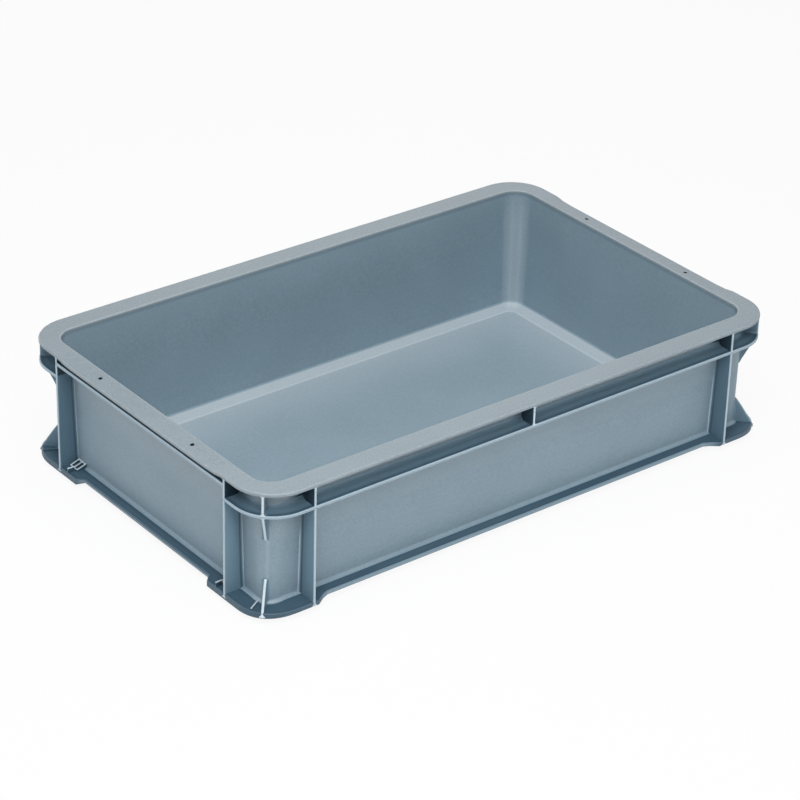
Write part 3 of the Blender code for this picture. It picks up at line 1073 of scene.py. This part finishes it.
@dataclass(frozen=True)
class RimRing:
    """The flat rim all round. Between the short fins its outer edge droops, and pin holes pierce it."""

    sizes: CrateSizes
    path: Path
    material: bpy.types.Material
    hole_shade_material: bpy.types.Material
    inner_round: float = 0.0012
    outer_round: Flat = (0.0018, 0.0015)
    lower_round: float = 0.0006
    root_round: float = 0.0025
    flat_margin: float = 0.0010
    droop_ease: float = 0.018
    pin_radius: float = 0.002
    pin_inset: float = 0.010
    pin_half_pitch: float = 0.0735

    def section(self) -> Array:
        """Cross-section up the inner edge, over the flat top, round the outer edge and back underneath.

        Returns:
            Rows of share, reach, height, wear with painted light and shade, and inset.
        """
        size = self.sizes
        inner = size.inner_radius
        outer = size.outline_radius
        wide, deep = self.outer_round
        root_level = size.rim_under - self.root_round
        root = size.wall_face(root_level)
        # Painted shade just under the inner edge and at the root underneath; the inner and outer edges pale, partly
        # rubbed and partly painted highlight.
        return np.vstack([
            line([(inner + SUNK, size.rim_under - SUNK), (inner, size.rim_under)], wear=-0.2),
            rounding((inner + self.inner_round, size.top - self.inner_round), (self.inner_round,) * 2, 180, 90, 0, 0.32),
            line([(inner + self.inner_round + self.flat_margin, size.top)]),
            line([(outer - wide - self.flat_margin, size.top)], 1),
            rounding((outer - wide, size.top - deep), (wide, deep), 90, 0, 1, 0.14, 7, 0.0),
            rounding((outer - self.lower_round, size.rim_under + self.lower_round), (self.lower_round,) * 2, 0, -90, 1),
            rounding((root + self.root_round, root_level), (self.root_round,) * 2, 90, 180, 1, -0.4, 5, 1.0),
            line([(root - SUNK, root_level - SUNK)], 1, -0.4),
        ])

    def drop(self) -> Array:
        """Droop of the outer edge at each station, between the short fins only.

        It grows with the distance d from the fin as t * t * (3 - 2 * t), where t is d over the ease and
        at most 1.

        Returns:
            The droop at each station.
        """
        size = self.sizes
        inside = size.fin_y - size.fin_half - np.abs(self.path.edge[:, 1])
        eased = np.clip(inside / self.droop_ease, 0, 1)
        return size.droop * eased ** 2 * (3 - 2 * eased) * (np.abs(self.path.outward[:, 0]) == 1)

    def pin_holes(self) -> bpy.types.Object:
        """Four round cutters through the short rims: a circle carried straight up.

        Returns:
            One object that holds all four.
        """
        size = self.sizes
        angle = np.linspace(0, 2 * pi, 24, endpoint=False)
        circle = self.pin_radius * np.column_stack([np.cos(angle), np.sin(angle)])
        levels = np.array([size.rim_under - 2 * size.droop, size.top + size.droop])
        shells = []
        for corner in Corner:
            centre = np.array(corner.value) * [size.half_x - self.pin_inset, self.pin_half_pitch]
            flat = np.repeat((centre + circle)[:, None], 2, axis=1)
            grid = np.concatenate([flat, np.broadcast_to(levels[:, None], flat.shape[:2] + (1,))], axis=2)
            shells.append(Shell.from_grid(grid, np.zeros((1, 1)), Closure.BAR))
        return make_piece("pin_holes", shells, self.hole_shade_material, [])

    def build(self) -> list[bpy.types.Object]:
        """Make the rim, cut its pin holes and drop the cutters."""
        section = self.section()
        shell = Shell.from_grid(self.path.carry(section, 0.0, self.drop()), section[:, 3:4], Closure.RING)
        replaced = ["rim_front", "rim_rear", "rim_left", "rim_right"]
        replaced += [corner.node("rim_corner") for corner in Corner]
        rim = make_piece("rim_ring", [shell], self.material, replaced)
        rim.modifiers.clear()
        cutters = self.pin_holes()
        cutters.modifiers.clear()
        cut = rim.modifiers.new("pin_holes", "BOOLEAN")
        cut.object = cutters
        # The hole walls take the cutters' near-black painted shade.
        cut.material_mode = "TRANSFER"
        graph = bpy.context.evaluated_depsgraph_get()
        pierced = bpy.data.meshes.new_from_object(rim.evaluated_get(graph))
        rim.modifiers.clear()
        rim.data = pierced
        bpy.data.objects.remove(cutters)
        smooth(rim)
        return [rim]


@dataclass(frozen=True)
class UnderRimRibs:
    """Level ribs under the rim: one round each long side and its corners, one grip rib on each short side."""

    sizes: CrateSizes
    plan: Plan
    material: bpy.types.Material
    edge_round: float = 0.0008
    upper_root: float = 0.0042
    lower_root: float = 0.0016
    grip_root: float = 0.0012
    # Painted shade on the rib's root and top, darkest at the brink, and a pale edge, partly rubbed and partly painted
    # highlight.
    root_wear: float = -0.08
    top_wear: float = -0.48
    brink_wear: float = -1.20
    edge_wear: float = 0.50

    def section(self, under: float, top: float, upper_root: float, lower_root: float) -> Array:
        """Cross-section of a rib: root curve on the wall, flat top, round edge, underside, lower root curve.

        Args:
            under: Height of the underside.
            top: Height of the flat top.
            upper_root: Radius of the root curve above the rib.
            lower_root: Radius of the root curve below it.

        Returns:
            Rows of share, reach, height, wear with painted light and shade, and inset.
        """
        size = self.sizes
        outer = size.outline_radius
        edge = self.edge_round
        high = top + upper_root
        low = under - lower_root
        high_face = size.wall_face(high)
        low_face = size.wall_face(low)
        # The rows carry the painted shade of the top and the edge's paleness.
        return np.vstack([
            line([(low_face - SUNK, low), (high_face - SUNK, high)], 1, self.root_wear),
            rounding((high_face + upper_root, high), (upper_root,) * 2, 180, 270, 1, self.root_wear, 5, 1.0),
            line([((high_face + upper_root + outer) / 2, top)], 1, self.top_wear),
            line([(outer - 2 * edge, top)], 1, self.brink_wear),
            rounding((outer - edge, top - edge), (edge, edge), 90, 0, 1, self.edge_wear, 5, 0.5),
            rounding((outer - edge, under + edge), (edge, edge), 0, -90, 1, self.edge_wear, 5, 0.5),
            rounding((low_face + lower_root, low), (lower_root,) * 2, 90, 180, 1),
        ])

    def build(self) -> list[bpy.types.Object]:
        """Make the two long ribs and the two grip ribs."""
        size = self.sizes
        section = self.section(size.rib_under, size.rib_top, self.upper_root, self.lower_root)
        path = self.plan.front_run(size.fin_y, np.linspace(-1, 1, 9)[1:-1] * size.bend_x)
        pieces = []
        for side, run in (("front", path), ("rear", path.mirrored())):
            shell = Shell.from_grid(run.carry(section), section[:, 3:4], Closure.BAR)
            corners = [corner.node("corner_rib") for corner in Corner if corner.name.startswith(side.upper())]
            pieces.append(make_piece("under_rim_rib_" + side, [shell], self.material, ["side_rib_" + side] + corners))
        grip = self.section(size.grip_under, size.grip_top, self.grip_root, self.grip_root)
        stops = np.linspace(-size.fin_y, size.fin_y, 5)
        for side, sign in (("left", -1), ("right", 1)):
            run = self.plan.straight((sign, 0), stops)
            shell = Shell.from_grid(run.carry(grip), grip[:, 3:4], Closure.BAR)
            pieces.append(make_piece("grip_rib_" + side + "_edge", [shell], self.material, ["grip_rib_" + side]))
        return pieces


@dataclass(frozen=True)
class OuterPlates:
    """Upright fins, webs and gussets that stand out from the walls."""

    sizes: CrateSizes
    material: bpy.types.Material
    edge_inset: float = 0.0002
    end_flare: float = 0.0016
    gusset_tip: float = 0.0010
    edge_proud: float = 0.0009
    # Painted shade on the fins' two faces, one darker than the other, and a deeper painted shade in the recess under
    # the rim.
    fin_wear: Flat = (-0.62, -0.23)
    fin_edge: float = 0.62
    recess_wear: Flat = (-0.5, -1.5)
    upper_bow: float = 1.1
    lower_bow: float = 0.9
    lower_rise: float = 0.002
    # Painted highlight on the gusset edges at the lit corner, a faint pale edge at the others.
    gusset_edge: float = 1.0
    plain_edge: float = 0.15

    def fins(self) -> list[bpy.types.Object]:
        """Two fins on each side, from the foot up to the rim."""
        size = self.sizes
        pieces = []
        for corner in Corner:
            sign_x, sign_y = corner.value
            outer = size.outline_radius - self.edge_inset
            shared = {
                "bottom": size.flange_top - EDGE_OVERRUN, "top": size.rim_under, "half": size.fin_half,
                "bottom_flare": self.end_flare, "top_flare": self.end_flare, "edge_wear": self.fin_edge,
                "shaded_above": size.rib_top,
            }
            long_reach = outer + size.edge_bend_y - size.bend_y
            origin = (sign_x * size.fin_x, sign_y * size.bend_y)
            turned = sign_x * sign_y
            # Each fin's faces take painted shade, darker on one side; the long fins go deeper in the recess.
            long_fin = UprightPlate(
                size, origin, (0, sign_y), reach_bottom=long_reach, reach_top=long_reach,
                wall_base=size.wall_radius + 0.7 * size.long_shift, face_wear=self.fin_wear[::turned],
                deep_wear=self.recess_wear, **shared,
            )
            origin = (sign_x * size.bend_x, sign_y * size.fin_y)
            short_fin = UprightPlate(
                size, origin, (sign_x, 0), reach_bottom=outer, reach_top=outer,
                wall_base=size.wall_radius, face_wear=self.fin_wear[::-turned], **shared,
            )
            for kind, plate in (("long_fin", long_fin), ("short_fin", short_fin)):
                node = corner.node(kind)
                pieces.append(make_piece(node + "_plate", [plate.shell()], self.material, [node]))
        return pieces

    def webs(self) -> list[bpy.types.Object]:
        """Webs between rib and rim, at the middle of the long sides and across the corners."""
        size = self.sizes
        pieces = []
        shared = {
            "bottom": size.rib_top, "top": size.rim_under, "wall_base": size.wall_radius,
            "half": size.fin_half, "bottom_flare": self.end_flare, "top_flare": self.end_flare,
        }
        reach = size.outline_radius - self.edge_inset + size.edge_bend_y - size.bend_y
        for side, sign in (("front", -1), ("rear", 1)):
            # The mid webs' faces are in painted shade, deeper on one side.
            plate = UprightPlate(
                size, (0, sign * size.bend_y), (0, sign), reach_bottom=reach, reach_top=reach,
                face_wear=self.recess_wear, **shared,
            )
            node = "mid_web_" + side
            pieces.append(make_piece(node + "_plate", [plate.shell()], self.material, [node]))
        reach = size.diagonal_reach() - self.edge_inset
        for corner in Corner:
            origin = (corner.value[0] * size.bend_x, corner.value[1] * size.bend_y)
            plate = UprightPlate(size, origin, corner.value, reach_bottom=reach, reach_top=reach, **shared)
            node = corner.node("corner_web")
            pieces.append(make_piece(node + "_plate", [plate.shell()], self.material, [node]))
        return pieces

    def gussets(self) -> list[bpy.types.Object]:
        """Three-sided gussets across the corners, one under the rib and one on the foot."""
        size = self.sizes
        reach = size.diagonal_reach() - self.edge_inset
        pieces = []
        for corner in Corner:
            origin = (corner.value[0] * size.bend_x, corner.value[1] * size.bend_y)
            # The lit corner's gussets get a painted highlight on their edges.
            edge = self.gusset_edge if corner is LIT_CORNER else self.plain_edge
            shared = {"half": size.fin_half, "edge_wear": edge, "root_wear": 0.0, "crease_wear": -0.3}
            for kind in ("upper_gusset", "lower_gusset"):
                node = corner.node(kind)
                low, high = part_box(node)
                if kind == "upper_gusset":
                    foot = low.z - RIB_DROP
                    wall = size.wall_radius + 0.5 * size.long_shift + size.fullness(foot)
                    plate = UprightPlate(
                        size, origin, corner.value, wall_base=wall, bottom=foot, top=size.rib_under,
                        reach_bottom=wall - size.lean(foot) + self.gusset_tip, reach_top=reach,
                        top_flare=self.end_flare, bow=self.upper_bow, **shared,
                    )
                else:
                    head = high.z + self.lower_rise
                    wall = size.wall_radius + 0.5 * size.long_shift + size.fullness(head)
                    plate = UprightPlate(
                        size, origin, corner.value, wall_base=wall, bottom=size.flange_top - EDGE_OVERRUN, top=head,
                        reach_bottom=reach + FOOT_FULLNESS + self.edge_proud, reach_top=wall - size.lean(head) + self.gusset_tip,
                        bottom_flare=self.end_flare, bow=self.lower_bow, **shared,
                    )
                pieces.append(make_piece(node + "_plate", [plate.shell()], self.material, [node]))
        return pieces

    def build(self) -> list[bpy.types.Object]:
        """Make all the plates."""
        return self.fins() + self.webs() + self.gussets()


@dataclass(frozen=True)
class BaseRing:
    """The base flange: narrow along the sides, full width at the four feet, with low stub ribs."""

    sizes: CrateSizes
    path: Path
    material: bpy.types.Material
    upper_round: float = 0.0012
    lower_round: float = 0.0014
    # Painted shade on the flange's top and feet, and on its outer edge by side.
    top_wear: float = -1.20
    middle_wear: float = -0.95
    line_at: float = 0.0042
    long_edge: float = -0.30
    short_edge: float = -1.1
    foot_edge: float = -0.95
    foot_depth: float = 0.0028
    long_depth_share: float = 0.3
    fin_proud: float = 0.0005
    long_widening: float = 0.002
    foot_past_fin: float = 0.004
    foot_ramp: float = 0.012
    stub_half: float = 0.00075
    stub_height: float = 0.005
    stub_reach: float = 0.007
    stub_fin_gap: float = 0.0135
    spoke_angle: float = radians(30)
    spoke_height: float = 0.0018
    spoke_start: float = 0.004
    spoke_span: float = 0.0135
    # Painted shade on the spokes' tops, away from the lit corner.
    spoke_wear: float = -1.0

    def section(self) -> Array:
        """Cross-section along the top, round the outer edge and back along the underside.

        Returns:
            Rows of share, reach, height, wear with painted light and shade, and inset.
        """
        size = self.sizes
        outer = size.outline_radius
        return np.vstack([
            line([(size.wall_face(size.flange_under) - SUNK, size.flange_under)]),
            line([(size.wall_face(size.flange_top) - SUNK, size.flange_top)], 0, self.top_wear),
            line([(size.wall_face(size.flange_top) + self.line_at, size.flange_top)], 0, self.top_wear),
            line([(size.wall_face(size.flange_top) + 1.6 * self.line_at, size.flange_top)], 0, self.middle_wear),
            line([(outer - 0.8 * self.line_at, size.flange_top)], 1, self.middle_wear),
            line([(outer - 1.6 * self.upper_round, size.flange_top)], 1, self.top_wear),
            rounding(
                (outer - self.upper_round, size.flange_top - self.upper_round), (self.upper_round,) * 2,
                90, 0, 1, 1.0, 5, 0.3,
            ),
            rounding(
                (outer - self.lower_round, size.flange_under + self.lower_round), (self.lower_round,) * 2,
                0, -90, 1, 0.6,
            ),
        ])

    def wear(self, section: Array) -> Array:
        """Wear and painted light and shade of every point: rows above nothing are the edge, a little painted shade on
        the long sides, more on the short sides and the feet.

        Args:
            section: Rows of share, reach, height, wear with painted light and shade, and inset.

        Returns:
            Wear and painted light and shade as rows and stations.
        """
        rows = section[:, 3:4]
        facing = self.path.outward[:, 1] ** 2
        edge = self.short_edge + (self.long_edge - self.short_edge) * facing
        standing = self.standing()
        worn_and_shaded = rows * edge * (1 - standing) + self.foot_edge * standing
        return np.where(rows > 0, worn_and_shaded, rows)

    def standing(self) -> Array:
        """1 at the feet, falling evenly to 0 past the long fins and at the feet's ends on the short sides.

        Returns:
            One number for each station.
        """
        size = self.sizes
        full_from = size.fin_x - size.fin_half - self.foot_past_fin
        starts = [full_from - self.foot_ramp, size.foot_y]
        share = (np.abs(self.path.edge) - starts) / [self.foot_ramp, size.half_x - size.flange_x]
        flat = np.abs(self.path.outward[:, ::-1]) == 1
        return np.where(flat, np.clip(share, 0, 1), 1.0).min(axis=1)

    def setback(self) -> Array:
        """Set the edge back between the feet; the feet are a little inside the fins' edges and full at the bends.

        Returns:
            The setback at each station.
        """
        size = self.sizes
        long_depth = size.half_y - size.flange_y - self.long_widening
        depth = np.where(np.abs(self.path.outward[:, 1]) == 1, long_depth, size.half_x - size.flange_x)
        standing = self.standing()
        return depth * (1 - standing) + self.fin_proud * standing - FOOT_FULLNESS * self.path.bulge()

    def stubs(self, corner: Corner) -> list[Shell]:
        """Two low ribs on one foot: one at its outer edge and a lower spoke beside the gusset.

        Args:
            corner: The foot's corner.

        Returns:
            Their shells.
        """
        size = self.sizes
        sign_x, sign_y = corner.value
        bottom = size.flange_top - SUNK
        top = size.flange_top + self.stub_height
        ridge = size.flange_top + self.spoke_height
        edge_y = sign_y * (size.fin_y - self.stub_fin_gap)
        far = size.half_x - SUNK
        edge = rounded_bar(
            (sign_x * (far - self.stub_reach), edge_y), (sign_x * far, edge_y), self.stub_half, bottom, (top, top),
            0.8 * self.stub_half,
        )
        bend = np.array([sign_x * size.bend_x, sign_y * size.bend_y])
        out = np.array([sign_x * cos(self.spoke_angle), sign_y * sin(self.spoke_angle)])
        near = size.wall_radius + self.spoke_start
        # The spoke's top gets a painted highlight at the lit corner and painted shade at the others.
        spoke = rounded_bar(
            tuple(bend + out * near), tuple(bend + out * (near + self.spoke_span)), self.stub_half, bottom,
            (ridge, ridge), 0.8 * self.stub_half, 0.8 if corner is LIT_CORNER else self.spoke_wear,
        )
        return [edge, spoke]

    def build(self) -> list[bpy.types.Object]:
        """Make the flange with its feet and stub ribs."""
        section = self.section()
        grid = self.path.carry(section, self.setback())
        under = section[:, 2] < (self.sizes.flange_under + self.sizes.flange_top) / 2
        facing = self.path.outward[:, 1] ** 2
        grid[under, :, 2] -= self.foot_depth * self.standing() * (1 - (1 - self.long_depth_share) * facing)
        shells = [Shell.from_grid(grid, self.wear(section), Closure.RING)]
        for corner in Corner:
            shells += self.stubs(corner)
        replaced = ["base_flange_front", "base_flange_rear", "base_flange_left", "base_flange_right"]
        replaced += [corner.node("corner_foot") for corner in Corner]
        return [make_piece("base_ring", shells, self.material, replaced)]


@dataclass(frozen=True)
class FootLugs:
    """A two-cell lug on each foot: five thin bars whose tops slope down from the wall, round wells dark with painted
    shade.
    """

    material: bpy.types.Material
    well_shade_material: bpy.types.Material
    half: float = 0.00075
    edge: float = 0.0005
    toe: float = 0.0016
    well: float = 0.0005
    # Pale bar tops: partly rubbed, partly painted highlight.
    bar_wear: float = 0.65

    def build(self) -> list[bpy.types.Object]:
        """Make the four lugs inside the boxes of their CAD nodes."""
        pieces = []
        for corner in Corner:
            node = corner.node("foot_lug")
            low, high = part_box(node)
            outer, inner = sorted((low.x, high.x), key=abs, reverse=True)
            bottom = low.z - SUNK
            tops = (high.z, low.z + self.toe)
            sign = corner.value[0]
            y_places = (low.y + self.half, (low.y + high.y) / 2, high.y - self.half)
            shells = [
                rounded_bar((inner, y), (outer, y), self.half, bottom, tops, self.edge, self.bar_wear) for y in y_places
            ]
            for x, top in ((inner + sign * self.half, tops[0]), (outer - sign * self.half, tops[1])):
                level = (top - 0.5 * self.edge,) * 2
                ends = (x, y_places[0]), (x, y_places[2])
                shells.append(rounded_bar(*ends, self.half, bottom, level, self.edge, self.bar_wear))
            pieces.append(make_piece(node + "_cells", shells, self.material, [node]))
            middle = (low.y + high.y) / 2
            # A low plate in near-black painted shade fills the floor of the cells.
            well = rounded_bar(
                (inner, middle), (outer, middle), middle - low.y - self.half, bottom, (low.z + self.well,) * 2, self.edge,
            )
            pieces.append(make_piece(node + "_wells", [well], self.well_shade_material, []))
        return pieces


@dataclass(frozen=True)
class PhotoCamera:
    """The photograph's camera, fitted to the crate's straight edges on an 800 pixel frame."""

    frame_pixels: float = 800.0
    focal_pixels: float = 2993.0
    sensor_mm: float = 36.0
    azimuth: float = radians(-38.45)
    elevation: float = radians(29.03)
    roll: float = radians(1.51)
    aim_right: float = 0.00386
    aim_up: float = 0.07279
    distance: float = 2.8089

    def build(self, rim_top: float) -> None:
        """Place the camera, with its aim measured from the middle of the rim's top.

        Args:
            rim_top: Height of the rim's top.
        """
        a, e, r = self.azimuth, self.elevation, self.roll
        level = Vector((cos(a), sin(a), 0))
        back = Vector((sin(a) * cos(e), -cos(a) * cos(e), sin(e)))
        upright = back.cross(level)
        right = cos(r) * level + sin(r) * upright
        up = cos(r) * upright - sin(r) * level
        data = bpy.data.cameras.new("photo_camera")
        data.sensor_width = self.sensor_mm
        data.lens = self.focal_pixels * self.sensor_mm / self.frame_pixels
        camera = bpy.data.objects.new("photo_camera", data)
        bpy.context.scene.collection.objects.link(camera)
        place = Vector((0, 0, rim_top)) - self.aim_right * right - self.aim_up * up + self.distance * back
        turn = Matrix((right, up, back)).transposed().to_4x4()
        camera.matrix_world = Matrix.Translation(place) @ turn
        bpy.context.scene.camera = camera


@dataclass(frozen=True)
class SoftBox:
    """A large soft lamp that faces the crate."""

    name: str
    place: tuple[float, float, float]
    aim: tuple[float, float, float]
    width: float
    height: float
    watts: float

    def build(self) -> None:
        """Place the lamp."""
        data = bpy.data.lights.new(self.name, "AREA")
        data.shape = "RECTANGLE"
        data.size = self.width
        data.size_y = self.height
        data.energy = self.watts
        lamp = bpy.data.objects.new(self.name, data)
        bpy.context.scene.collection.objects.link(lamp)
        facing = Vector(self.aim) - Vector(self.place)
        lamp.matrix_world = Matrix.Translation(self.place) @ facing.to_track_quat("-Z", "Y").to_matrix().to_4x4()


LAMPS = (
    SoftBox("overhead_lamp", (0.0, 0.0, 1.8), (0.0, 0.0, 0.08), 1.8, 1.6, 14.8),
    SoftBox("front_high_lamp", (-0.8, -1.0, 1.53), (0.0, 0.0, 0.08), 1.2, 1.2, 27.4),
    SoftBox("back_lamp", (1.1, 1.4, 1.0), (0.0, 0.0, 0.08), 1.0, 0.8, 3.2),
    SoftBox("left_lamp", (-1.8, 0.7, 0.35), (0.0, 0.0, 0.08), 1.2, 0.7, 6.5),
    SoftBox("right_lamp", (0.6, -1.9, 0.20), (0.0, 0.0, 0.08), 1.4, 0.36, 7.6),
    SoftBox("rear_lamp", (0.0, 1.9, 0.07), (0.0, 0.0, 0.06), 1.8, 0.11, 8.0),
)


@dataclass(frozen=True)
class Studio:
    """White floor and surroundings, soft lamps and the photograph's camera."""

    floor_half: float = 15.0
    floor_gap: float = 0.0003
    floor_white: Colour = (0.86, 0.86, 0.86, 1.0)
    floor_lift: float = 0.92
    surround: float = 0.03

    def floor(self) -> None:
        """Lay a wide white floor that keeps the crate's shadow, looks white and is clear from below."""
        side = self.floor_half * np.array([-1.0, 1.0])
        x, y = np.meshgrid(side, side)
        points = np.stack([x, y, np.full_like(x, -self.floor_gap)], axis=-1).reshape(-1, 3)
        mesh = bpy.data.meshes.new("studio_floor")
        mesh.from_pydata(points.tolist(), [], [[0, 1, 3, 2]])
        floor = bpy.data.objects.new("studio_floor", mesh)
        bpy.context.scene.collection.objects.link(floor)
        made = bpy.data.materials.new("studio_floor")
        tree = ShaderTree(made)
        matte = tree.node("ShaderNodeBsdfDiffuse", {}, {"Color": self.floor_white})
        white = tree.node("ShaderNodeEmission", {}, {"Color": (1, 1, 1, 1), "Strength": 1.0})
        mix = tree.node("ShaderNodeMixShader", {}, {0: self.floor_lift * tree.direct_view(), 1: matte, 2: white})
        below = tree.node("ShaderNodeNewGeometry", {}, {}, "Backfacing")
        clear = tree.node("ShaderNodeBsdfTransparent")
        one_sided = tree.node("ShaderNodeMixShader", {}, {0: below, 1: mix, 2: clear})
        tree.node("ShaderNodeOutputMaterial", {}, {"Surface": one_sided})
        mesh.materials.append(made)

    def surroundings(self) -> None:
        """A white surround to the camera and in reflections, and a soft even light elsewhere."""
        world = bpy.data.worlds.new("studio_world")
        bpy.context.scene.world = world
        tree = ShaderTree(world)
        light = tree.node("ShaderNodeBackground", {}, {"Color": (1, 1, 1, 1), "Strength": self.surround})
        white = tree.node("ShaderNodeBackground", {}, {"Color": (1, 1, 1, 1), "Strength": 1.0})
        mix = tree.node("ShaderNodeMixShader", {}, {0: tree.direct_view(), 1: light, 2: white})
        tree.node("ShaderNodeOutputWorld", {}, {"Surface": mix})

    def build(self, rim_top: float) -> None:
        """Set up the floor, the surround, the lamps, the camera and the view.

        Args:
            rim_top: Height of the rim's top.
        """
        self.floor()
        self.surroundings()
        for lamp in LAMPS:
            lamp.build()
        PhotoCamera().build(rim_top)
        bpy.context.scene.view_settings.view_transform = "Standard"


def main() -> None:
    """Build every piece of the crate and the studio."""
    logging.basicConfig(level=logging.INFO, format="%(message)s")
    sizes = CrateSizes.from_frame()
    plan = Plan(sizes)
    long_depth = sizes.half_y - sizes.flange_y
    short_depth = sizes.half_x - sizes.flange_x
    beside = sizes.fin_half + np.array(BESIDE_FIN)
    long_stops = both_ways(
        *beside, sizes.foot_x / 2, sizes.foot_x, sizes.foot_x + long_depth, *(sizes.fin_x - beside),
        *(sizes.fin_x + beside),
    )
    short_stops = both_ways(
        0.0, sizes.foot_y / 2, sizes.foot_y, sizes.foot_y + short_depth, *(sizes.fin_y - beside),
        *(sizes.fin_y + beside),
    )
    path = plan.all_round(long_stops, short_stops)
    wall = WALL_FINISH.material()
    rim = RIM_FINISH.material()
    rib = RIB_FINISH.material()
    foot = FOOT_FINISH.material()
    hole_shade = HOLE_SHADE_FINISH.material()
    assemblies = (
        TubShell(sizes, path, wall),
        RimRing(sizes, path, rim, hole_shade),
        UnderRimRibs(sizes, plan, rib),
        OuterPlates(sizes, rib),
        BaseRing(sizes, path, foot),
        FootLugs(foot, hole_shade),
    )
    for assembly in assemblies:
        for piece in assembly.build():
            LOG.info("%s: %d faces", piece.name, len(piece.data.polygons))
    Studio().build(sizes.top)


if __name__ == "__main__":
    main()
